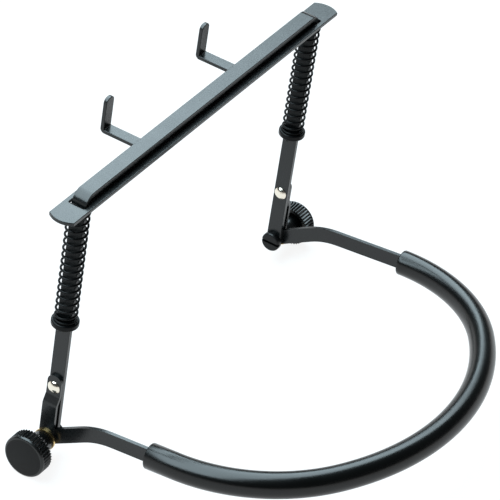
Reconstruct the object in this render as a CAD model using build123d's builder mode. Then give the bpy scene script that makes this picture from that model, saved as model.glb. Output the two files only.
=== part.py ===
"""Neck-worn harmonica holder.

A sprung jaw plate is pressed up under the top bar of a U-shaped strip frame, and the harmonica is
gripped between the two. The frame is hinged on two thumb-knob bolts to a horseshoe neckband whose
back runs in a vinyl tube. Millimetres, +Z up, +X along the bar to the wearer's left, -Y to the wearer's
neck. The origin is the bottom centre of the box round the whole holder.
"""

import os
from math import cos, radians, sin, tan

from build123d import *

os.makedirs("parts", exist_ok=True)

# ---- driving dimensions ------------------------------------------------------------------

# strip stock
FRAME_WIDTH = 6.0
FRAME_THICK = 2.0
BAND_WIDTH = 6.0
BAND_THICK = 1.5
JAW_THICK = 1.5
STRAP_THICK = 1.2
EDGE_ROUND = 0.25

# clamp frame
FRAME_SPAN = 160.0              # over the outer faces of the two legs
FRAME_HEIGHT = 108.9            # pivot axis to the top of the bar
FRAME_BEND = 4.0                # centre line of the corner bends
LEG_BELOW_PIVOT = 3.5

# jaw plate
JAW_DROP = 3.8                  # top of the bar down to the top of the plate, springs at rest
JAW_WIDTH = 10.5
JAW_CORNER_SPAN = 180.6         # between the corners where the arched ends start
JAW_END_RISE = 2.0
LEG_SLOT_IN = 77.7              # slot ends, measured from the middle of the plate
LEG_SLOT_OUT = 81.3
LEG_SLOT_WIDTH = 7.0
LEG_SLOT_CORNER = 0.8

# back stops
STOP_OFFSET = 32.2
STOP_WIDTH = 5.0
STOP_REACH = 20.25              # bar centre line to the middle of the upright
STOP_HEIGHT = 7.8               # tip above the top of the bar
STOP_BEND = 1.1
STOP_TIP_ROUND = 2.1
STOP_TAIL = 4.0                 # part welded under the plate, in front of its centre line

# springs and what carries them
WIRE = 0.9
COIL_RADIUS = 3.95
OPEN_TURNS = 16
CLOSED_TURNS_LOW = 2
CLOSED_TURNS_TOP = 1
CLOSED_PITCH = 1.0
SPRING_GAP = 0.1
CUP_RADIUS = 5.2
CUP_BASE = 0.8
CUP_HEIGHT = 2.4
CUP_WALL = 0.7
CUP_SLOT_CLEARANCE = 0.1
PIN_RADIUS = 0.8
PIN_LENGTH = 7.0
PIN_HEIGHT = 50.5               # above the pivot axis

# clevis straps and rivets
STRAP_TOP = 28.4                # above the pivot axis
STRAP_JOG_TOP = 19.6
STRAP_JOG_LOW = 16.2
STRAP_BEND = 2.0
RIVET_HEIGHT = 23.2
RIVET_SHANK = 1.5
RIVET_HEAD = 2.6
RIVET_RISE = 1.3
RIVET_DOME = 1.25

# pivot bolts, washers and knobs
SLIDE_GAP = 0.1                 # between faces that turn on each other
BOLT_RADIUS = 2.0
BOLT_CLEARANCE = 0.05
BOLT_HEAD_RADIUS = 4.0
BOLT_HEAD_HEIGHT = 2.3
BOLT_HEAD_ROUND = 0.9
BOLT_SLOT_WIDTH = 1.1
BOLT_SLOT_DEPTH = 1.1
BOLT_TIP = 92.0                 # from the middle plane
WASHER_RADIUS = 4.4
WASHER_THICK = 0.8
KNOB_RADIUS = 8.5
KNOB_RIM = 6.2
KNOB_HUB_RADIUS = 4.2
KNOB_HUB_LENGTH = 7.0
KNOB_WALL = 1.9
KNOB_RECESS = 3.2
KNOB_FLUTES = 44
FLUTE_RADIUS = 0.42
KNOB_EDGE = 1.0
INSERT_RADIUS = 3.0
INSERT_SINK = 0.4
INSERT_LENGTH = 7.5
BOLT_END_ROOM = 1.0

# neckband: its ends kick up from the pivots, then a knee lays it over towards the neck
BAND_KICK_ANGLE = 31.0
BAND_KNEE_RADIUS = 30.0
BAND_KICK_REACH = 30.0          # pivots to past the knee
BAND_LIFT = 9.8                 # plane of the horseshoe over the pivots
BAND_RISE_ANGLE = 6.0           # the horseshoe climbs on towards the neck
BAND_STRAIGHT = 54.0
BAND_SIDE_RADIUS = 63.0
BAND_SIDE_ANGLE = 55.5

# vinyl sleeve on the neckband, pushed a little towards the left arm
SLEEVE_LEFT_START = 43.0
SLEEVE_RIGHT_START = 56.0
SLEEVE_RADIUS = 5.0
SLEEVE_BORE = 3.3

# ---- derived positions -------------------------------------------------------------------

HALF_SPAN = FRAME_SPAN / 2
LEG_X = HALF_SPAN - FRAME_THICK / 2
BAND_X = HALF_SPAN + SLIDE_GAP + BAND_THICK / 2
STRAP_X = HALF_SPAN + STRAP_THICK / 2
STRAP_OUT_X = BAND_X + BAND_THICK / 2 + SLIDE_GAP + STRAP_THICK / 2
WASHER_FACE = STRAP_OUT_X + STRAP_THICK / 2
HUB_FACE = WASHER_FACE + WASHER_THICK + SLIDE_GAP / 2
RIM_FACE = HUB_FACE + KNOB_HUB_LENGTH

BAND_BACK_RADIUS = BAND_SIDE_RADIUS + (BAND_X - BAND_SIDE_RADIUS) / cos(radians(BAND_SIDE_ANGLE))
BAND_BACK_CENTRE = BAND_STRAIGHT - (BAND_BACK_RADIUS - BAND_SIDE_RADIUS) * sin(radians(BAND_SIDE_ANGLE))
BAND_REACH = BAND_BACK_CENTRE + BAND_BACK_RADIUS

STOP_FACE = STOP_REACH + JAW_THICK / 2
NECK_DEPTH = BAND_REACH * cos(radians(BAND_RISE_ANGLE)) + SLEEVE_RADIUS
PIVOT_Y = (NECK_DEPTH - STOP_FACE) / 2
PIVOT_Z = KNOB_RADIUS
BAR_TOP = PIVOT_Z + FRAME_HEIGHT
JAW_TOP = BAR_TOP - JAW_DROP
JAW_UNDER = JAW_TOP - JAW_THICK
CUP_UNDER = PIVOT_Z + PIN_HEIGHT + PIN_RADIUS
SPRING_FOOT = CUP_UNDER + CUP_BASE
SPRING_HEAD = JAW_UNDER - SPRING_GAP

FRAME_PLANE = Plane(origin=(0, PIVOT_Y, 0), x_dir=(1, 0, 0), z_dir=(0, -1, 0))
BAND_PLANE = Plane(
    origin=(0, PIVOT_Y, PIVOT_Z + BAND_LIFT),
    x_dir=(1, 0, 0),
    z_dir=(0, sin(radians(BAND_RISE_ANGLE)), cos(radians(BAND_RISE_ANGLE))),
)
SIDES = ((-1, "left"), (1, "right"))


def outward(side, x, height=0.0):
    """Plane square to the pivot axis, looking out from the middle, at x and a height over the axis."""
    return Plane(origin=(side * x, PIVOT_Y, PIVOT_Z + height), x_dir=(0, 1, 0), z_dir=(side, 0, 0))


def band_centre_line(start):
    """Horseshoe centre line in the plane of the band, from one side to the other."""
    turn = BAND_SIDE_ANGLE
    left = Line((-BAND_X, -start), (-BAND_X, -BAND_STRAIGHT))
    side_in = JernArc(left @ 1, left % 1, BAND_SIDE_RADIUS, turn)
    back = JernArc(side_in @ 1, side_in % 1, BAND_BACK_RADIUS, 180 - 2 * turn)
    side_out = JernArc(back @ 1, back % 1, BAND_SIDE_RADIUS, turn)
    Line(side_out @ 1, (BAND_X, -start))


# ---- clamp frame: one strip bent to a U, drilled for the pivots, rivets and cup pins -----

with BuildPart() as clamp_frame:
    with BuildSketch(FRAME_PLANE):
        with BuildLine():
            FilletPolyline(
                (-LEG_X, PIVOT_Z - LEG_BELOW_PIVOT),
                (-LEG_X, BAR_TOP - FRAME_THICK / 2),
                (LEG_X, BAR_TOP - FRAME_THICK / 2),
                (LEG_X, PIVOT_Z - LEG_BELOW_PIVOT),
                radius=FRAME_BEND,
            )
        trace(line_width=FRAME_THICK)
    extrude(amount=FRAME_WIDTH / 2, both=True)
    feet = clamp_frame.edges().filter_by(Axis.X).group_by(Axis.Z)[0]
    fillet(feet, radius=FRAME_WIDTH / 2 - EDGE_ROUND)
    front_and_back = clamp_frame.faces().filter_by(Axis.Y)
    fillet(front_and_back.edges(), radius=EDGE_ROUND)
    for height, radius in (
        (0, BOLT_RADIUS + BOLT_CLEARANCE),
        (RIVET_HEIGHT, RIVET_SHANK),
        (PIN_HEIGHT, PIN_RADIUS),
    ):
        with BuildSketch(outward(1, 0, height)):
            Circle(radius)
        extrude(amount=HALF_SPAN + 1, both=True, mode=Mode.SUBTRACT)

clamp_frame.part.label = "clamp_frame"
export_step(clamp_frame.part, "parts/clamp_frame.step")

# ---- jaw plate: slides on the legs -------------------------------------------------------

with BuildPart() as jaw_plate:
    with BuildSketch(Plane.XY.offset(JAW_UNDER)):
        with BuildLine():
            corner = JAW_CORNER_SPAN / 2
            half = JAW_WIDTH / 2
            front = Line((-corner, PIVOT_Y - half), (corner, PIVOT_Y - half))
            right_end = ThreePointArc(front @ 1, (corner + JAW_END_RISE, PIVOT_Y), (corner, PIVOT_Y + half))
            rear = Line(right_end @ 1, (-corner, PIVOT_Y + half))
            ThreePointArc(rear @ 1, (-corner - JAW_END_RISE, PIVOT_Y), front @ 0)
        make_face()
        slot_middle = (LEG_SLOT_IN + LEG_SLOT_OUT) / 2
        with Locations((-slot_middle, PIVOT_Y), (slot_middle, PIVOT_Y)):
            RectangleRounded(LEG_SLOT_OUT - LEG_SLOT_IN, LEG_SLOT_WIDTH, LEG_SLOT_CORNER, mode=Mode.SUBTRACT)
    extrude(amount=JAW_THICK)
    outline = jaw_plate.faces().filter_by(Axis.Z).edges()
    fillet(outline, radius=EDGE_ROUND)

jaw_plate.part.label = "jaw_plate"
export_step(jaw_plate.part, "parts/jaw_plate.step")

# ---- back stops: bent strips welded under the plate --------------------------------------

for side, hand in SIDES:
    with BuildPart() as back_stop:
        with BuildSketch(Plane(origin=(side * STOP_OFFSET, 0, 0), x_dir=(0, 1, 0), z_dir=(1, 0, 0))):
            with BuildLine():
                run_height = JAW_UNDER - JAW_THICK / 2
                FilletPolyline(
                    (PIVOT_Y - STOP_TAIL, run_height),
                    (PIVOT_Y + STOP_REACH, run_height),
                    (PIVOT_Y + STOP_REACH, BAR_TOP + STOP_HEIGHT),
                    radius=STOP_BEND,
                )
            trace(line_width=JAW_THICK)
        extrude(amount=STOP_WIDTH / 2, both=True)
        tip = back_stop.edges().filter_by(Axis.Y).group_by(Axis.Z)[-1]
        fillet(tip, radius=STOP_TIP_ROUND)
        flanks = back_stop.faces().filter_by(Axis.X)
        fillet(flanks.edges(), radius=EDGE_ROUND)

    back_stop.part.label = f"back_stop_{hand}"
    export_step(back_stop.part, f"parts/back_stop_{hand}.step")

# ---- springs, their cups and the cross pins that carry them ------------------------------

for side, hand in SIDES:
    with BuildPart() as spring:
        with BuildLine() as coil:
            low_height = CLOSED_TURNS_LOW * CLOSED_PITCH
            top_height = CLOSED_TURNS_TOP * CLOSED_PITCH
            foot = SPRING_FOOT + WIRE / 2
            open_height = SPRING_HEAD - WIRE / 2 - foot - low_height - top_height
            leg = (side * LEG_X, PIVOT_Y)
            Helix(CLOSED_PITCH, low_height, COIL_RADIUS, center=(*leg, foot))
            Helix(open_height / OPEN_TURNS, open_height, COIL_RADIUS, center=(*leg, foot + low_height))
            Helix(CLOSED_PITCH, top_height, COIL_RADIUS, center=(*leg, foot + low_height + open_height))
        with BuildSketch(Plane(origin=coil.line @ 0, z_dir=coil.line % 0)):
            Circle(WIRE / 2)
        sweep(path=coil.line, is_frenet=True)

    spring.part.label = f"spring_{hand}"
    export_step(spring.part, f"parts/spring_{hand}.step")

    with BuildPart() as spring_cup:
        with BuildSketch(Plane.XY.offset(CUP_UNDER)):
            with Locations((side * LEG_X, PIVOT_Y)):
                Circle(CUP_RADIUS)
        extrude(amount=CUP_HEIGHT)
        with BuildSketch(Plane.XY.offset(SPRING_FOOT)):
            with Locations((side * LEG_X, PIVOT_Y)):
                Circle(CUP_RADIUS - CUP_WALL)
        extrude(amount=CUP_HEIGHT, mode=Mode.SUBTRACT)
        with BuildSketch(Plane.XY.offset(CUP_UNDER)):
            with Locations((side * LEG_X, PIVOT_Y)):
                Rectangle(FRAME_THICK + 2 * CUP_SLOT_CLEARANCE, FRAME_WIDTH + 2 * CUP_SLOT_CLEARANCE)
        extrude(amount=CUP_BASE, mode=Mode.SUBTRACT)
        outer_edges = spring_cup.edges().filter_by(GeomType.CIRCLE).group_by(SortBy.RADIUS)[-1]
        fillet(outer_edges, radius=CUP_WALL * 0.8)

    spring_cup.part.label = f"spring_cup_{hand}"
    export_step(spring_cup.part, f"parts/spring_cup_{hand}.step")

    with BuildPart() as cup_pin:
        with BuildSketch(outward(side, LEG_X, PIN_HEIGHT)):
            Circle(PIN_RADIUS)
        extrude(amount=PIN_LENGTH / 2, both=True)
        chamfer(cup_pin.edges().filter_by(GeomType.CIRCLE), length=PIN_RADIUS / 4)

    cup_pin.part.label = f"cup_pin_{hand}"
    export_step(cup_pin.part, f"parts/cup_pin_{hand}.step")

# ---- clevis straps and the rivets that hold them to the legs -----------------------------

for side, hand in SIDES:
    with BuildPart() as clevis_strap:
        with BuildSketch(FRAME_PLANE):
            with BuildLine():
                FilletPolyline(
                    (side * STRAP_X, PIVOT_Z + STRAP_TOP),
                    (side * STRAP_X, PIVOT_Z + STRAP_JOG_TOP),
                    (side * STRAP_OUT_X, PIVOT_Z + STRAP_JOG_LOW),
                    (side * STRAP_OUT_X, PIVOT_Z - LEG_BELOW_PIVOT),
                    radius=STRAP_BEND,
                )
            trace(line_width=STRAP_THICK)
        extrude(amount=FRAME_WIDTH / 2, both=True)
        end_edges = clevis_strap.edges().filter_by(Axis.X)
        fillet(end_edges, radius=FRAME_WIDTH / 2 - EDGE_ROUND)
        with BuildSketch(outward(side, HALF_SPAN, RIVET_HEIGHT)):
            Circle(RIVET_SHANK)
        extrude(amount=STRAP_THICK, mode=Mode.SUBTRACT)
        with BuildSketch(outward(side, HALF_SPAN)):
            Circle(BOLT_RADIUS + BOLT_CLEARANCE)
        extrude(amount=STRAP_OUT_X, mode=Mode.SUBTRACT)

    clevis_strap.part.label = f"clevis_strap_{hand}"
    export_step(clevis_strap.part, f"parts/clevis_strap_{hand}.step")

    with BuildPart() as strap_rivet:
        inner_face = HALF_SPAN - FRAME_THICK
        outer_face = HALF_SPAN + STRAP_THICK
        for head_start in (inner_face - RIVET_RISE, outer_face):
            with BuildSketch(outward(side, head_start, RIVET_HEIGHT)):
                Circle(RIVET_HEAD)
            extrude(amount=RIVET_RISE)
        with BuildSketch(outward(side, inner_face, RIVET_HEIGHT)):
            Circle(RIVET_SHANK)
        extrude(amount=outer_face - inner_face)
        head_ends = strap_rivet.faces().filter_by(Axis.X).sort_by(Axis.X)
        fillet(head_ends[0].edges() + head_ends[-1].edges(), radius=RIVET_DOME)

    strap_rivet.part.label = f"strap_rivet_{hand}"
    export_step(strap_rivet.part, f"parts/strap_rivet_{hand}.step")

# ---- pivot bolts, washers, thumb knobs and their threaded inserts ------------------------

for side, hand in SIDES:
    with BuildPart() as pivot_bolt:
        head_face = HALF_SPAN - FRAME_THICK
        with BuildSketch(outward(side, head_face - BOLT_HEAD_HEIGHT)):
            Circle(BOLT_HEAD_RADIUS)
        extrude(amount=BOLT_HEAD_HEIGHT)
        crown = pivot_bolt.faces().filter_by(Axis.X).sort_by(Axis((0, 0, 0), (side, 0, 0)))[0]
        fillet(crown.edges(), radius=BOLT_HEAD_ROUND)
        with BuildSketch(outward(side, head_face)):
            Circle(BOLT_RADIUS)
        extrude(amount=BOLT_TIP - head_face)
        with BuildSketch(outward(side, head_face - BOLT_HEAD_HEIGHT)):
            Rectangle(2 * BOLT_HEAD_RADIUS, BOLT_SLOT_WIDTH)
        extrude(amount=BOLT_SLOT_DEPTH, mode=Mode.SUBTRACT)
        tip_edge = pivot_bolt.edges().filter_by(GeomType.CIRCLE).sort_by(Axis((0, 0, 0), (side, 0, 0)))[-1]
        chamfer(tip_edge, length=BOLT_RADIUS / 4)

    pivot_bolt.part.label = f"pivot_bolt_{hand}"
    export_step(pivot_bolt.part, f"parts/pivot_bolt_{hand}.step")

    with BuildPart() as brass_washer:
        with BuildSketch(outward(side, WASHER_FACE)):
            Circle(WASHER_RADIUS)
            Circle(BOLT_RADIUS + BOLT_CLEARANCE, mode=Mode.SUBTRACT)
        extrude(amount=WASHER_THICK)

    brass_washer.part.label = f"brass_washer_{hand}"
    export_step(brass_washer.part, f"parts/brass_washer_{hand}.step")

    with BuildPart() as knob:
        with BuildSketch(outward(side, RIM_FACE)):
            Circle(KNOB_RADIUS)
        extrude(amount=KNOB_RIM)
        with BuildSketch(outward(side, RIM_FACE)):
            Circle(KNOB_RADIUS - KNOB_WALL)
        extrude(amount=KNOB_RECESS, mode=Mode.SUBTRACT)
        with BuildSketch(outward(side, HUB_FACE)):
            Circle(KNOB_HUB_RADIUS)
        extrude(amount=KNOB_HUB_LENGTH + KNOB_RECESS)
        with BuildSketch(outward(side, HUB_FACE)):
            Circle(INSERT_RADIUS)
        extrude(amount=INSERT_SINK + INSERT_LENGTH, mode=Mode.SUBTRACT)
        with BuildSketch(outward(side, HUB_FACE)):
            Circle(BOLT_RADIUS + BOLT_CLEARANCE)
        extrude(amount=BOLT_TIP + BOLT_END_ROOM - HUB_FACE, mode=Mode.SUBTRACT)
        with BuildSketch(outward(side, RIM_FACE)):
            with PolarLocations(KNOB_RADIUS, KNOB_FLUTES, start_angle=180 / KNOB_FLUTES):
                Circle(FLUTE_RADIUS)
        extrude(amount=KNOB_RIM, mode=Mode.SUBTRACT)
        with BuildSketch(Plane.XY.offset(PIVOT_Z)):
            edge_x = RIM_FACE + KNOB_RIM
            with BuildLine():
                Polyline(
                    (side * (edge_x - KNOB_EDGE), PIVOT_Y + KNOB_RADIUS),
                    (side * edge_x, PIVOT_Y + KNOB_RADIUS - KNOB_EDGE),
                    (side * (edge_x + KNOB_EDGE), PIVOT_Y + KNOB_RADIUS - KNOB_EDGE),
                    (side * (edge_x + KNOB_EDGE), PIVOT_Y + KNOB_RADIUS + KNOB_EDGE),
                    (side * (edge_x - KNOB_EDGE), PIVOT_Y + KNOB_RADIUS + KNOB_EDGE),
                    close=True,
                )
            make_face()
        revolve(axis=Axis((0, PIVOT_Y, PIVOT_Z), (1, 0, 0)), mode=Mode.SUBTRACT)

    knob.part.label = f"knob_{hand}"
    export_step(knob.part, f"parts/knob_{hand}.step")

    with BuildPart() as knob_insert:
        with BuildSketch(outward(side, HUB_FACE + INSERT_SINK)):
            Circle(INSERT_RADIUS)
            Circle(BOLT_RADIUS + BOLT_CLEARANCE, mode=Mode.SUBTRACT)
        extrude(amount=INSERT_LENGTH)

    knob_insert.part.label = f"knob_insert_{hand}"
    export_step(knob_insert.part, f"parts/knob_insert_{hand}.step")

# ---- neckband: strip on edge, two kicked-up ends and a horseshoe between them ------------

KNEE_REACH = BAND_LIFT / (tan(radians(BAND_KICK_ANGLE)) - tan(radians(BAND_RISE_ANGLE)))
KNEE_HEIGHT = KNEE_REACH * tan(radians(BAND_KICK_ANGLE))
KICK_END_HEIGHT = BAND_LIFT + BAND_KICK_REACH * tan(radians(BAND_RISE_ANGLE))

with BuildPart() as neckband:
    with BuildSketch(BAND_PLANE):
        with BuildLine():
            band_centre_line(BAND_KICK_REACH)
        trace(line_width=BAND_THICK)
    extrude(amount=BAND_WIDTH / 2, both=True)
    for side, hand in SIDES:
        with BuildSketch(Plane(origin=(side * BAND_X, PIVOT_Y, PIVOT_Z), x_dir=(0, -1, 0), z_dir=(-1, 0, 0))):
            with BuildLine():
                FilletPolyline(
                    (0, 0),
                    (KNEE_REACH, KNEE_HEIGHT),
                    (BAND_KICK_REACH, KICK_END_HEIGHT),
                    radius=BAND_KNEE_RADIUS,
                )
            trace(line_width=BAND_WIDTH)
            Circle(BAND_WIDTH / 2)
            Circle(BOLT_RADIUS + BOLT_CLEARANCE, mode=Mode.SUBTRACT)
        extrude(amount=BAND_THICK / 2, both=True)

neckband.part.label = "neckband"
export_step(neckband.part, "parts/neckband.step")

# ---- vinyl sleeve: a tube bent along the horseshoe, its right end cut back square --------

with BuildPart() as neck_sleeve:
    with BuildLine(BAND_PLANE) as sleeve_path:
        band_centre_line(SLEEVE_LEFT_START)
    with BuildSketch(Plane(origin=sleeve_path.line @ 0, z_dir=sleeve_path.line % 0)):
        Circle(SLEEVE_RADIUS)
        Circle(SLEEVE_BORE, mode=Mode.SUBTRACT)
    sweep(path=sleeve_path.line)
    cut_centre = BAND_PLANE.from_local_coords((BAND_X, -SLEEVE_RIGHT_START, 0))
    with BuildSketch(Plane(origin=cut_centre, z_dir=BAND_PLANE.y_dir)):
        Circle(2 * SLEEVE_RADIUS)
    extrude(amount=2 * (SLEEVE_RIGHT_START - SLEEVE_LEFT_START), mode=Mode.SUBTRACT)

neck_sleeve.part.label = "neck_sleeve"
export_step(neck_sleeve.part, "parts/neck_sleeve.step")
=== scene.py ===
"""Neck-worn harmonica holder: the looks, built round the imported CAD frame."""

from math import cos, pi, radians, sin

import bmesh
import bpy
from bpy.props import FloatProperty, FloatVectorProperty, IntProperty, PointerProperty
from mathutils import Matrix, Quaternion, Vector


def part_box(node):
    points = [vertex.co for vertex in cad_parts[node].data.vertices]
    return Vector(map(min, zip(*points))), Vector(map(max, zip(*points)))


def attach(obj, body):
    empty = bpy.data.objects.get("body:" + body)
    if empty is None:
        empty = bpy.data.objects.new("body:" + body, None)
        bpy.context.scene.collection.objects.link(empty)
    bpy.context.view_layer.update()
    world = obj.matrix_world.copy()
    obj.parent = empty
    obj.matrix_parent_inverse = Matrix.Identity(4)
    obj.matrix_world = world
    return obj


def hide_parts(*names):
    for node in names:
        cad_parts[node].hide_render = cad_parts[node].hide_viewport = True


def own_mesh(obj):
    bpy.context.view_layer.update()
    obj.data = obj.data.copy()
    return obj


bl_info = {
    "name": "Harmonica Neck Holder",
    "version": (1, 0, 0),
    "blender": (4, 5, 0),
    "location": "View3D > Sidebar > Holder",
    "description": "Builds the looks of a neck-worn harmonica holder on its CAD frame",
    "category": "Object",
}

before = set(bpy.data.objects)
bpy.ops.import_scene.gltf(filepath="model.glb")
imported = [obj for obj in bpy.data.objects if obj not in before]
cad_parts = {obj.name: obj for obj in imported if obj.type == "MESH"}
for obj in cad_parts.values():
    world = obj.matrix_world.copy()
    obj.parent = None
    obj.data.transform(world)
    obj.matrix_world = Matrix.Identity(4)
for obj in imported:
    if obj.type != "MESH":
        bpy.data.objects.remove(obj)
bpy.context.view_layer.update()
MM = 0.001
TOUCHING = 0.002 * MM  # points nearer than this are one point


def linear(hex_colour):
    """An sRGB hex colour as linear red, green, blue and alpha."""
    channels = [int(hex_colour[i:i + 2], 16) / 255 for i in (1, 3, 5)]
    return [c / 12.92 if c <= 0.04045 else ((c + 0.055) / 1.055) ** 2.4 for c in channels] + [1.0]


# ---- places read from the frame ----------------------------------------------------------

BOLT_LOW, BOLT_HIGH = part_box("pivot_bolt_left")
CUP_LOW, CUP_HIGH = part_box("spring_cup_left")
PLATE_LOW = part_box("jaw_plate")[0]
PIVOT = Vector((0, (BOLT_LOW.y + BOLT_HIGH.y) / 2, (BOLT_LOW.z + BOLT_HIGH.z) / 2))
ARM_X = (CUP_LOW.x + CUP_HIGH.x) / -2
SIDES = ((-1, "left"), (1, "right"))
ACROSS_Y = Matrix.Rotation(pi / 2, 4, "X")  # turns a flat ring to face along Y


# ---- settings ----------------------------------------------------------------------------


def length(name, description, default_mm):
    """A length property with its default given in millimetres."""
    return FloatProperty(name=name, description=description, default=default_mm * MM, min=0,
                         subtype="DISTANCE", unit="LENGTH", precision=5)


def angle(name, description, default_degrees):
    """An angle property with its default given in degrees."""
    return FloatProperty(name=name, description=description, default=radians(default_degrees),
                         subtype="ANGLE", unit="ROTATION")


def colour(name, description, default_hex):
    """A colour property with its default given as sRGB hex."""
    return FloatVectorProperty(name=name, description=description, default=linear(default_hex),
                               size=4, min=0, max=1, subtype="COLOR")


class HolderSizes(bpy.types.PropertyGroup):
    """Sizes of the pieces that are modelled here."""

    wire: length("Wire", "Diameter of the spring wire", 0.9)
    coil_radius: length("Coil radius", "Middle of the wire to the spring's axis", 3.95)
    open_turns: IntProperty(name="Open turns", description="Spread coils of each spring", default=16, min=1)
    closed_turns: IntProperty(name="Closed turns", description="Tight coils at the foot", default=2, min=1)
    closed_pitch: length("Closed pitch", "Rise of one tight coil", 1.0)
    cup_base: length("Cup base", "Thickness of the ring under each spring", 0.8)
    spring_gap: length("Spring gap", "Air between the last coil and the plate", 0.1)
    jaw_travel: length("Jaw travel", "How far the plate is pressed down the legs", 26.0)

    knob_radius: length("Knob radius", "Crest of the flutes to the axis", 8.5)
    knob_rim: length("Knob rim", "Width of the fluted rim", 6.2)
    knob_hub: length("Hub radius", "Radius of the knob's collar", 4.2)
    knob_hub_length: length("Hub length", "Collar standing in from the rim", 7.0)
    knob_wall: length("Rim wall", "Thickness of the rim round the recess", 1.9)
    knob_recess: length("Recess", "Depth of the hollow inner side", 3.2)
    knob_bore: length("Bore", "Radius of the threaded bore", 2.05)
    knob_bore_depth: length("Bore depth", "Depth of the threaded bore", 9.2)
    knob_edge: length("Knob edge", "Rounding between flutes and face", 1.0)
    knob_round: length("Knob rounding", "Softened edges of rim and collar", 0.25)
    flute_runout: length("Flute run-out", "Length over which a flute fades out", 0.5)
    flutes: IntProperty(name="Flutes", description="Grooves round each knob", default=44, min=8)
    flute_depth: length("Flute depth", "Depth of each groove", 0.55)

    rivet_dome: length("Rivet dome", "Rise of the domed part of a rivet head", 1.15)
    rivet_edge: length("Rivet edge", "Straight edge under the dome", 0.15)
    rivet_shank: length("Rivet shank", "Radius of the rivet between its heads", 1.45)

    band_lift: length("Band lift", "Plane of the horseshoe over the pivots", 9.8)
    band_rise: angle("Band rise", "Climb of the horseshoe towards the neck", 6.0)
    band_half: length("Band half width", "Middle of the strip to the middle plane", 80.85)
    band_straight: length("Band straight", "Pivots to the first bend", 54.0)
    band_side_radius: length("Side bend", "Radius of the neckband's side bends", 63.0)
    band_side_angle: angle("Side bend angle", "Turn of each side bend", 55.5)
    sleeve_left: length("Sleeve left end", "Pivots to the cut end of the sleeve on the left", 43.0)
    sleeve_right: length("Sleeve right end", "Pivots to the cut end of the sleeve on the right", 56.0)
    sleeve_radius: length("Sleeve radius", "Outside of the vinyl tube", 5.0)
    sleeve_lip: length("Sleeve lip", "Softening of the cut ends", 0.25)
    sleeve_wall: length("Sleeve wall", "Wall of the vinyl tube", 1.7)


class HolderColours(bpy.types.PropertyGroup):
    """Colours of the finishes."""

    enamel: colour("Enamel", "Satin enamel on the steel strip", "#0b0e0f")
    spring: colour("Spring", "Blackened spring steel", "#050607")
    screw: colour("Screw", "Black oxide screws", "#0d0e0f")
    nickel: colour("Nickel", "Bright plated rivets", "#e8e1d2")
    brass: colour("Brass", "Turned brass washers and inserts", "#e4c68a")
    knob: colour("Knob", "Moulded knob plastic", "#070808")
    vinyl: colour("Vinyl", "Extruded vinyl tube", "#020303")
    floor: colour("Floor", "Back-lit studio table", "#54585a")


class HolderStudio(bpy.types.PropertyGroup):
    """The table, the light and the camera."""

    table_radius: length("Table radius", "Round white table under the holder", 6000)
    wall_height: length("Wall height", "Low white wall round the table", 1000)
    table_gap: length("Table gap", "Air that keeps the table off the knobs", 0.02)
    softbox_place: FloatVectorProperty(name="Softbox place", description="Middle of the overhead softbox",
                                       default=(0, 0.62, 1.3), size=3, subtype="TRANSLATION", unit="LENGTH")
    softbox_width: length("Softbox width", "Long side of the softbox", 3300)
    softbox_depth: length("Softbox depth", "Short side of the softbox", 1300)
    softbox_watts: FloatProperty(name="Softbox power", description="Radiant power in watts", default=108,
                                 min=0)
    softbox_tint: FloatVectorProperty(name="Softbox tint", description="Linear colour of the softbox's light",
                                      default=(0.74, 0.92, 1.0), size=3, min=0, max=1, subtype="COLOR")
    room_light: FloatProperty(name="Room light", description="Strength of the dim room round the table",
                              default=0.07, min=0)
    room_tint: FloatVectorProperty(name="Room tint", description="Linear colour of the room's light",
                                   default=(0.95, 0.98, 1.0, 1.0), size=4, min=0, max=1, subtype="COLOR")
    table_glow: FloatProperty(name="Table glow", description="Light through the acrylic table top",
                              default=0.9, min=0)
    lens_mm: FloatProperty(name="Lens", description="Focal length on a 36 mm sensor", default=248, min=1)
    camera_azimuth: angle("Camera azimuth", "Camera's direction, from the front towards the right", 296.2)
    camera_elevation: angle("Camera elevation", "Camera's height over the horizon", 36.3)
    camera_roll: angle("Camera roll", "Turn of the camera about its own view", 9.3)
    camera_distance: length("Camera distance", "Camera to the point that it faces", 1253)
    camera_aim: FloatVectorProperty(name="Camera aim", description="Point faced, from between the pivots",
                                    default=(-0.0169, -0.0375, 0.0681), size=3, subtype="TRANSLATION",
                                    unit="LENGTH")


def sizes():
    """The sizes set in this scene."""
    return bpy.context.scene.holder_sizes


def colours():
    """The colours set in this scene."""
    return bpy.context.scene.holder_colours


def studio():
    """The table, light and camera settings of this scene."""
    return bpy.context.scene.holder_studio


# ---- materials ---------------------------------------------------------------------------


def add(tree, kind, settings=None, links=None):
    """Adds a node, sets its properties and inputs, and links sockets into its inputs."""
    node = tree.nodes.new(kind)
    for key, value in (settings or {}).items():
        if key in node.inputs:
            node.inputs[key].default_value = value
        else:
            setattr(node, key, value)
    for key, socket in (links or {}).items():
        tree.links.new(socket, node.inputs[key])
    return node


def new_material(name):
    """An empty material with its output, and object coordinates in metres."""
    material = bpy.data.materials.get(name) or bpy.data.materials.new(name)
    material.use_nodes = True
    tree = material.node_tree
    tree.nodes.clear()
    output = add(tree, "ShaderNodeOutputMaterial")
    place = add(tree, "ShaderNodeTexCoord").outputs["Object"]
    return material, tree, output, place


def per_metre(millimetres):
    """Texture scale that gives a feature of that size."""
    return 1000 / millimetres


def relief(tree, texture, strength, depth_mm):
    """Bumps from a texture, as a normal."""
    bump = add(tree, "ShaderNodeBump", {"Strength": strength, "Distance": depth_mm * MM},
               {"Height": texture.outputs["Fac"]})
    return bump.outputs["Normal"]


def roughness(tree, texture, smoothest, roughest):
    """A roughness that drifts between two values with a texture."""
    drift = add(tree, "ShaderNodeMapRange", {"To Min": smoothest, "To Max": roughest},
                {"Value": texture.outputs["Fac"]})
    return drift.outputs["Result"]


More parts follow.
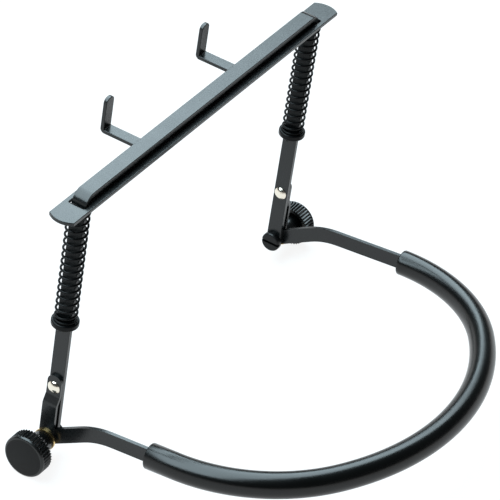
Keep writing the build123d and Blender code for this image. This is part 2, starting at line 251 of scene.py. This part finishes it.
def two_tones(tree, texture, base, dark, light, dark_at=0.0, light_at=1.0):
    """A darker and a lighter shade of one colour, blended by a texture."""
    tone = add(tree, "ShaderNodeValToRGB", links={"Fac": texture.outputs["Fac"]})
    for element, at, shade in zip(tone.color_ramp.elements, (dark_at, light_at), (dark, light)):
        element.position = at
        element.color = [c * shade for c in base[:3]] + [1]
    return tone.outputs["Color"]


def satin_enamel(name="satin black baked enamel", reflection=0.42):
    """Baked satin enamel on rolled steel strip: a charcoal sheen with fine orange peel; with a low reflection
    it is painted shade.
    """
    material, tree, output, place = new_material(name)
    peel = add(tree, "ShaderNodeTexNoise", {"Scale": per_metre(0.55), "Detail": 3.0}, {"Vector": place})
    cloud = add(tree, "ShaderNodeTexNoise", {"Scale": per_metre(9), "Detail": 4.0}, {"Vector": place})
    shader = add(tree, "ShaderNodeBsdfPrincipled", {"Specular IOR Level": reflection},
                 {"Base Color": two_tones(tree, cloud, colours().enamel, 0.85, 1.2, 0.35, 0.7),
                  "Roughness": roughness(tree, cloud, 0.2, 0.3),
                  "Normal": relief(tree, peel, 0.45, 0.03)})
    tree.links.new(shader.outputs["BSDF"], output.inputs["Surface"])
    return material


def blackened_steel():
    """Oil-blackened spring wire and pressed cups: near black, with a faint oily sheen."""
    material, tree, output, place = new_material("oil-blackened spring steel")
    mottle = add(tree, "ShaderNodeTexNoise", {"Scale": per_metre(1.2), "Detail": 4.0}, {"Vector": place})
    shader = add(tree, "ShaderNodeBsdfPrincipled", {"Specular IOR Level": 0.12},
                 {"Base Color": two_tones(tree, mottle, colours().spring, 0.7, 1.6),
                  "Roughness": roughness(tree, mottle, 0.22, 0.38)})
    tree.links.new(shader.outputs["BSDF"], output.inputs["Surface"])
    return material


def bright_nickel():
    """Nickel-plated steel rivets: a bright mirror with a warm cast, broken by fine pitting."""
    material, tree, output, place = new_material("bright nickel plate")
    pits = add(tree, "ShaderNodeTexNoise", {"Scale": per_metre(0.5), "Detail": 2.0}, {"Vector": place})
    shader = add(tree, "ShaderNodeBsdfPrincipled", {"Metallic": 1.0, "Base Color": colours().nickel},
                 {"Roughness": roughness(tree, pits, 0.1, 0.2),
                  "Normal": relief(tree, pits, 0.15, 0.03)})
    tree.links.new(shader.outputs["BSDF"], output.inputs["Surface"])
    return material


def turned_brass():
    """Turned brass: fine rings round the bolt's axis, left by the tool, draw its shine out into streaks."""
    material, tree, output, place = new_material("turned brass")
    centred = add(tree, "ShaderNodeMapping", {"Location": (0, -PIVOT.y, -PIVOT.z)}, {"Vector": place})
    # a wave has about three rings to the unit, so these are 1.6 mm apart: real tool marks would not show
    rings = add(tree, "ShaderNodeTexWave",
                {"wave_type": "RINGS", "rings_direction": "X", "Scale": per_metre(5), "Distortion": 0.6},
                {"Vector": centred.outputs["Vector"]})
    shader = add(tree, "ShaderNodeBsdfPrincipled", {"Metallic": 1.0, "Base Color": colours().brass},
                 {"Roughness": roughness(tree, rings, 0.2, 0.34),
                  "Normal": relief(tree, rings, 0.2, 0.02)})
    tree.links.new(shader.outputs["BSDF"], output.inputs["Surface"])
    return material


def black_oxide():
    """Black oxide machine screws: dark and dull, mottled where the bath took unevenly."""
    material, tree, output, place = new_material("black oxide steel")
    mottle = add(tree, "ShaderNodeTexNoise", {"Scale": per_metre(0.8), "Detail": 5.0}, {"Vector": place})
    shader = add(tree, "ShaderNodeBsdfPrincipled", {"Metallic": 0.6},
                 {"Base Color": two_tones(tree, mottle, colours().screw, 0.7, 1.8),
                  "Roughness": roughness(tree, mottle, 0.25, 0.42)})
    tree.links.new(shader.outputs["BSDF"], output.inputs["Surface"])
    return material


def moulded_plastic(name, smoothest, roughest, reflection):
    """Moulded ABS: black with the grain of its mould, glossier where the mould's steel was polished."""
    material, tree, output, place = new_material(name)
    grain = add(tree, "ShaderNodeTexNoise", {"Scale": per_metre(0.35), "Detail": 3.0}, {"Vector": place})
    cloud = add(tree, "ShaderNodeTexNoise", {"Scale": per_metre(5), "Detail": 3.0}, {"Vector": place})
    shader = add(tree, "ShaderNodeBsdfPrincipled",
                 {"Base Color": colours().knob, "Specular IOR Level": reflection},
                 {"Roughness": roughness(tree, cloud, smoothest, roughest),
                  "Normal": relief(tree, grain, 0.3, 0.04)})
    tree.links.new(shader.outputs["BSDF"], output.inputs["Surface"])
    return material


def glossy_vinyl():
    """Extruded soft PVC tube: deep gloss, with faint waves from the die and duller smears from handling."""
    material, tree, output, place = new_material("glossy extruded vinyl")
    smear = add(tree, "ShaderNodeTexNoise", {"Scale": per_metre(14), "Detail": 5.0}, {"Vector": place})
    ripple = add(tree, "ShaderNodeTexNoise", {"Scale": per_metre(2.2), "Detail": 1.0}, {"Vector": place})
    shader = add(tree, "ShaderNodeBsdfPrincipled",
                 {"Base Color": colours().vinyl, "Specular IOR Level": 0.38},
                 {"Roughness": roughness(tree, smear, 0.19, 0.3),
                  "Normal": relief(tree, ripple, 0.2, 0.06)})
    tree.links.new(shader.outputs["BSDF"], output.inputs["Surface"])
    return material


def glowing_acrylic(glow):
    """White acrylic lit from below: it hides most of the shadows and puts a pale sheen on every side face."""
    material, tree, output, place = new_material("back-lit white acrylic")
    haze = add(tree, "ShaderNodeTexNoise", {"Scale": per_metre(60), "Detail": 2.0}, {"Vector": place})
    shader = add(tree, "ShaderNodeBsdfPrincipled",
                 {"Base Color": colours().floor, "Specular IOR Level": 0.1,
                  "Emission Color": linear("#ffffff"), "Emission Strength": glow},
                 {"Roughness": roughness(tree, haze, 0.85, 0.95)})
    tree.links.new(shader.outputs["BSDF"], output.inputs["Surface"])
    return material


def on_both_sides(*parts):
    """Names of the left and the right node of each part."""
    return [f"{part}_{hand}" for part in parts for side, hand in SIDES]


def finish_nodes(material, names):
    """Gives CAD nodes a material."""
    for name in names:
        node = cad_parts[name]
        node.data.materials.clear()
        node.data.materials.append(material)


# ---- modelling ---------------------------------------------------------------------------


def finished_piece(bm, name, material, body, replaced, place=Matrix.Identity(4), smooth=40):
    """Turns a bmesh into a piece that rides a body and stands for a CAD node.

    Edges that bend by less than smooth, in degrees, are shaded as one surface.
    """
    bmesh.ops.transform(bm, matrix=place, verts=bm.verts)
    bmesh.ops.remove_doubles(bm, verts=bm.verts, dist=TOUCHING)
    bmesh.ops.recalc_face_normals(bm, faces=bm.faces)
    if not bm.faces or not all(edge.is_manifold for edge in bm.edges):
        raise RuntimeError(f"{name} is not a closed solid")
    for edge in bm.edges:
        edge.smooth = edge.calc_face_angle() < radians(smooth)
    for face in bm.faces:
        face.smooth = True
    mesh = bpy.data.meshes.new(name)
    bm.to_mesh(mesh)
    bm.free()
    mesh.materials.append(material)
    piece = bpy.data.objects.new(name, mesh)
    bpy.context.scene.collection.objects.link(piece)
    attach(piece, body)
    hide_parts(replaced)
    return piece


def turned(outline, steps):
    """A bmesh turned round its axis from a half section, given as radius and height."""
    bm = bmesh.new()
    verts = [bm.verts.new((radius, 0, height)) for radius, height in outline]
    edges = [bm.edges.new(pair) for pair in zip(verts, verts[1:])]
    bmesh.ops.spin(bm, geom=verts + edges, cent=(0, 0, 0), axis=(0, 0, 1), angle=2 * pi, steps=steps,
                   use_merge=True)
    return bm


def spin_on(bm, front, centre, axis, turn, steps, rise=0.0):
    """Sweeps the front face on round an axis, with a rise along it, and returns the new front."""
    swept = bmesh.ops.spin(bm, geom=front, cent=centre, axis=axis, angle=turn, steps=steps,
                           dvec=Vector(axis) * (rise / steps))
    return swept["geom_last"]


def push_on(bm, front, step):
    """Extrudes the front loop by a step and returns the new front."""
    grown = bmesh.ops.extrude_edge_only(bm, edges=[g for g in front if isinstance(g, bmesh.types.BMEdge)])
    verts = [g for g in grown["geom"] if isinstance(g, bmesh.types.BMVert)]
    bmesh.ops.translate(bm, vec=step, verts=verts)
    fresh = set(verts)
    edges = [g for g in grown["geom"] if isinstance(g, bmesh.types.BMEdge)
             and g.verts[0] in fresh and g.verts[1] in fresh]
    return verts + edges


def ring_front(bm, radius, segments, matrix):
    """A circle of edges to sweep."""
    made = bmesh.ops.create_circle(bm, segments=segments, radius=radius, matrix=matrix)
    verts = made["verts"]
    edges = list({e for v in verts for e in v.link_edges})
    return verts + edges


def close_end(bm, front):
    """Fills a loop of edges with one face."""
    bmesh.ops.contextual_create(bm, geom=[g for g in front if isinstance(g, bmesh.types.BMEdge)])


class HOLDER_OT_frame(bpy.types.Operator):
    """Finishes the clamp frame, whose legs are darkened with painted shade where the springs surround them"""

    bl_idname = "holder.frame"
    bl_label = "Clamp frame"

    def execute(self, context):
        bm = bmesh.new()
        bm.from_mesh(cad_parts["clamp_frame"].data)
        bmesh.ops.remove_doubles(bm, verts=bm.verts, dist=TOUCHING)
        # the stretch of leg between the cups and the plate gets painted shade for the coils round it
        painted_shade_from = CUP_HIGH.z
        painted_shade_to = PLATE_LOW.z
        for height in (painted_shade_from, painted_shade_to):
            bmesh.ops.bisect_plane(bm, geom=bm.verts[:] + bm.edges[:] + bm.faces[:],
                                   plane_co=(0, 0, height), plane_no=(0, 0, 1))
        for face in bm.faces:
            face.material_index = int(painted_shade_from < face.calc_center_median().z < painted_shade_to)
        piece = finished_piece(bm, "enamelled_frame", satin_enamel(), "arms", "clamp_frame",
                               smooth=18)
        # painted shade: a duller enamel on the legs inside the springs, where the coils shade them
        piece.data.materials.append(satin_enamel("black enamel dulled as painted shade", 0.14))
        flats = piece.modifiers.new("flat faces stay flat", "WEIGHTED_NORMAL")
        flats.keep_sharp = True
        return {"FINISHED"}


class HOLDER_OT_springs(bpy.types.Operator):
    """Winds the two coil springs with tight coils at the foot and a last coil at the top"""

    bl_idname = "holder.springs"
    bl_label = "Springs"

    def execute(self, context):
        s = sizes()
        steel = blackened_steel()
        foot = CUP_LOW.z + s.cup_base + s.wire / 2
        head = PLATE_LOW.z - s.spring_gap - s.wire / 2
        low = s.closed_turns * s.closed_pitch
        spread = head - foot - low - s.closed_pitch
        wire_sides = 12
        turn_steps = 36
        for side, hand in SIDES:
            bm = bmesh.new()
            axis_point = Vector((side * ARM_X, PIVOT.y, foot))
            wire_end = axis_point + Vector((s.coil_radius, 0, 0))
            front = ring_front(bm, s.wire / 2, wire_sides, Matrix.Translation(wire_end) @ ACROSS_Y)
            close_end(bm, front)
            for turns, rise in ((s.closed_turns, low), (s.open_turns, spread), (1, s.closed_pitch)):
                front = spin_on(bm, front, axis_point, (0, 0, 1), 2 * pi * turns, turn_steps * turns, rise)
            close_end(bm, front)
            piece = finished_piece(bm, f"wound_spring_{hand}", steel, "arms", f"spring_{hand}")
            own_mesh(piece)
        return {"FINISHED"}


class HOLDER_OT_knobs(bpy.types.Operator):
    """Turns the two fluted thumb knobs, hollow on the inner side round a collar"""

    bl_idname = "holder.knobs"
    bl_label = "Thumb knobs"

    def execute(self, context):
        s = sizes()
        polished = moulded_plastic("polished moulded ABS", 0.2, 0.32, 0.45)
        grained = moulded_plastic("grained moulded ABS", 0.38, 0.5, 0.18)
        face = s.knob_hub_length + s.knob_rim
        steps_per_flute = 6
        for side, hand in SIDES:
            low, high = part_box(f"knob_{hand}")
            inner = high.x if side < 0 else low.x
            bm = turned(self.profile(s, face), steps_per_flute * s.flutes)
            bmesh.ops.remove_doubles(bm, verts=bm.verts, dist=TOUCHING)
            self.cut_flutes(bm, s, face - s.knob_edge)
            for knob_face in bm.faces:
                on_face = all(vert.co.z > face - TOUCHING for vert in knob_face.verts)
                knob_face.material_index = 1 if on_face else 0
            place = Matrix.Translation((inner, PIVOT.y, PIVOT.z)) @ Matrix.Rotation(side * pi / 2, 4, "Y")
            piece = finished_piece(bm, f"fluted_knob_{hand}", polished, f"knob_{hand}", f"knob_{hand}",
                                   place, smooth=50)
            piece.data.materials.append(grained)
        return {"FINISHED"}

    def profile(self, s, face):
        """Half section of a knob as radius and depth, from the bore round the hollow to the outer face."""
        rim = s.knob_hub_length
        hollow = rim + s.knob_recess
        wall = s.knob_radius - s.knob_wall
        shoulder = face - s.knob_edge
        corner_steps = 6
        outline = [
            (0, s.knob_bore_depth),
            (s.knob_bore, s.knob_bore_depth),
            (s.knob_bore, 0),
            (s.knob_hub - s.knob_round, 0),
            (s.knob_hub, s.knob_round),
            (s.knob_hub, hollow),
            (wall, hollow),
            (wall, rim),
            (s.knob_radius - s.knob_round, rim),
            (s.knob_radius, rim + s.knob_round),
            (s.knob_radius, shoulder - s.flute_runout),
        ]
        for i in range(corner_steps + 1):
            bend = pi / 2 * i / corner_steps
            radius = s.knob_radius - s.knob_edge * (1 - cos(bend))
            outline.append((radius, shoulder + s.knob_edge * sin(bend)))
        outline.append((0, face))
        return outline

    def cut_flutes(self, bm, s, shoulder):
        """Draws the rim's wall in along each flute, running out below the shoulder."""
        inner_edge = s.knob_radius - s.knob_round
        flute_end = shoulder - s.flute_runout
        for vert in bm.verts:
            radius = vert.co.xy.length
            if radius > inner_edge - TOUCHING and vert.co.z < flute_end + TOUCHING:
                wave = abs(sin(s.flutes * vert.co.xy.angle_signed(Vector((1, 0))) / 2))
                vert.co.xy *= 1 - s.flute_depth * wave / radius


class HOLDER_OT_rivets(bpy.types.Operator):
    """Turns the domed rivets that hold the straps to the legs"""

    bl_idname = "holder.rivets"
    bl_label = "Rivets"

    def execute(self, context):
        s = sizes()
        nickel = bright_nickel()
        round_steps = 48
        for side, hand in SIDES:
            low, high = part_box(f"strap_rivet_{hand}")
            outline = self.profile(s, (high.y - low.y) / 2, (high.x - low.x) / 2)
            place = Matrix.Translation((low + high) / 2) @ Matrix.Rotation(pi / 2, 4, "Y")
            bm = turned(outline, round_steps)
            finished_piece(bm, f"domed_rivet_{hand}", nickel, "arms", f"strap_rivet_{hand}", place)
        return {"FINISHED"}

    def profile(self, s, radius, half):
        """Half section of a rivet as radius and height, from one dome past the shank to the other."""
        ball = (radius ** 2 + s.rivet_dome ** 2) / (2 * s.rivet_dome)
        neck = half - s.rivet_dome - s.rivet_edge
        dome_steps = 10
        head = []
        for i in range(dome_steps + 1):
            out = radius * sin(pi / 2 * i / dome_steps)
            head.append((out, half - ball + (ball ** 2 - out ** 2) ** 0.5))
        head += [(radius, neck), (s.rivet_shank, neck)]
        return head + [(out, -height) for out, height in reversed(head)]


class HOLDER_OT_sleeve(bpy.types.Operator):
    """Bends the glossy vinyl tube round the back of the neckband"""

    bl_idname = "holder.sleeve"
    bl_label = "Vinyl sleeve"

    def execute(self, context):
        s = sizes()
        back_radius = s.band_side_radius + (s.band_half - s.band_side_radius) / cos(s.band_side_angle)
        back_y = -s.band_straight + (back_radius - s.band_side_radius) * sin(s.band_side_angle)
        back_centre = Vector((0, back_y, 0))
        side_centre = Vector((s.band_half - s.band_side_radius, -s.band_straight, 0))
        left_centre = Vector((-side_centre.x, side_centre.y, 0))
        tube_sides = 48
        side_steps = 40
        back_steps = 72
        bm = bmesh.new()
        cut_end = Matrix.Translation((-s.band_half, -s.sleeve_left, 0))
        front = ring_front(bm, s.sleeve_radius, tube_sides, cut_end @ ACROSS_Y)
        front = push_on(bm, front, Vector((0, s.sleeve_left - s.band_straight, 0)))
        front = spin_on(bm, front, left_centre, (0, 0, 1), s.band_side_angle, side_steps)
        front = spin_on(bm, front, back_centre, (0, 0, 1), pi - 2 * s.band_side_angle, back_steps)
        short = (s.sleeve_right - s.band_straight) / s.band_side_radius
        spin_on(bm, front, side_centre, (0, 0, 1), s.band_side_angle - short, side_steps)
        bmesh.ops.remove_doubles(bm, verts=bm.verts, dist=TOUCHING)
        bmesh.ops.recalc_face_normals(bm, faces=bm.faces)
        bmesh.ops.solidify(bm, geom=bm.faces[:], thickness=s.sleeve_wall)
        sharp = radians(60)
        lips = [e for e in bm.edges if e.is_manifold and e.calc_face_angle() > sharp]
        bmesh.ops.bevel(bm, geom=lips, offset=s.sleeve_lip, segments=2, profile=0.5, affect="EDGES",
                        material=-1)
        band_plane = Matrix.Translation(PIVOT + Vector((0, 0, s.band_lift)))
        place = band_plane @ Matrix.Rotation(-s.band_rise, 4, "X")
        finished_piece(bm, "vinyl_sleeve", glossy_vinyl(), "neckband", "neck_sleeve", place)
        return {"FINISHED"}


class HOLDER_OT_metalwork(bpy.types.Operator):
    """Gives the strips, straps, cups, pins, bolts, washers and inserts their finishes"""

    bl_idname = "holder.metalwork"
    bl_label = "Metalwork"

    def execute(self, context):
        strips = ["jaw_plate", "neckband", *on_both_sides("back_stop", "clevis_strap")]
        finish_nodes(satin_enamel(), strips)
        finish_nodes(blackened_steel(), on_both_sides("spring_cup", "cup_pin"))
        finish_nodes(black_oxide(), on_both_sides("pivot_bolt"))
        finish_nodes(turned_brass(), on_both_sides("brass_washer", "knob_insert"))
        return {"FINISHED"}


class HOLDER_OT_stage(bpy.types.Operator):
    """Lays the white table with its low wall, hangs the softbox and sets the camera"""

    bl_idname = "holder.stage"
    bl_label = "Stage"

    def execute(self, context):
        scene = context.scene
        settings = studio()
        self.lay_table(scene, settings)
        self.light_room(scene, settings)
        self.hang_softbox(scene, settings)
        self.set_camera(scene, settings)
        scene.view_settings.view_transform = "Standard"
        return {"FINISHED"}

    def lay_table(self, scene, settings):
        """A round table top of glowing acrylic with a low wall round it, so every side has a pale ground."""
        table_sides = 96
        bm = bmesh.new()
        under_knobs = Matrix.Translation((0, 0, -settings.table_gap))
        rim = ring_front(bm, settings.table_radius, table_sides, under_knobs)
        push_on(bm, rim, Vector((0, 0, settings.wall_height)))
        close_end(bm, rim)
        mesh = bpy.data.meshes.new("studio_floor")
        bm.to_mesh(mesh)
        bm.free()
        mesh.materials.append(glowing_acrylic(settings.table_glow))
        floor = bpy.data.objects.new("studio_floor", mesh)
        scene.collection.objects.link(floor)

    def light_room(self, scene, settings):
        """A dim, slightly cool room."""
        scene.world = bpy.data.worlds.new("studio")
        scene.world.use_nodes = True
        background = scene.world.node_tree.nodes["Background"]
        background.inputs["Color"].default_value = settings.room_tint
        background.inputs["Strength"].default_value = settings.room_light

    def hang_softbox(self, scene, settings):
        """One wide, cool softbox overhead, facing the holder."""
        data = bpy.data.lights.new("overhead_softbox", "AREA")
        data.shape = "RECTANGLE"
        data.size = settings.softbox_width
        data.size_y = settings.softbox_depth
        data.energy = settings.softbox_watts
        data.color = settings.softbox_tint
        softbox = bpy.data.objects.new("overhead_softbox", data)
        place = Vector(settings.softbox_place)
        softbox.location = place
        softbox.rotation_euler = (-place).to_track_quat("-Z", "Y").to_euler()
        scene.collection.objects.link(softbox)

    def set_camera(self, scene, settings):
        """A long lens looking down on the left knob, rolled a little."""
        data = bpy.data.cameras.new("camera")
        data.sensor_width = 36
        data.lens = settings.lens_mm
        data.clip_start = 10 * MM
        camera = bpy.data.objects.new("camera", data)
        azimuth = settings.camera_azimuth
        elevation = settings.camera_elevation
        away = Vector((sin(azimuth) * cos(elevation), -cos(azimuth) * cos(elevation), sin(elevation)))
        roll = Quaternion((0, 0, 1), settings.camera_roll)
        camera.location = PIVOT + Vector(settings.camera_aim) + away * settings.camera_distance
        camera.rotation_euler = ((-away).to_track_quat("-Z", "Y") @ roll).to_euler()
        scene.collection.objects.link(camera)
        scene.camera = camera


OPERATORS = (HOLDER_OT_metalwork, HOLDER_OT_frame, HOLDER_OT_springs, HOLDER_OT_rivets, HOLDER_OT_knobs,
             HOLDER_OT_sleeve, HOLDER_OT_stage)


class HOLDER_PT_panel(bpy.types.Panel):
    """Builds the holder piece by piece"""

    bl_label = "Harmonica Holder"
    bl_idname = "HOLDER_PT_panel"
    bl_space_type = "VIEW_3D"
    bl_region_type = "UI"
    bl_category = "Holder"

    def draw(self, context):
        for operator in OPERATORS:
            self.layout.operator(operator.bl_idname)


CLASSES = (HolderSizes, HolderColours, HolderStudio, *OPERATORS, HOLDER_PT_panel)


def register():
    for cls in CLASSES:
        bpy.utils.register_class(cls)
    bpy.types.Scene.holder_sizes = PointerProperty(type=HolderSizes)
    bpy.types.Scene.holder_colours = PointerProperty(type=HolderColours)
    bpy.types.Scene.holder_studio = PointerProperty(type=HolderStudio)


def unregister():
    del bpy.types.Scene.holder_studio
    del bpy.types.Scene.holder_colours
    del bpy.types.Scene.holder_sizes
    for cls in reversed(CLASSES):
        bpy.utils.unregister_class(cls)


def main():
    register()
    for operator in OPERATORS:
        group, name = operator.bl_idname.split(".")
        getattr(getattr(bpy.ops, group), name)()


if __name__ == "__main__":
    main()
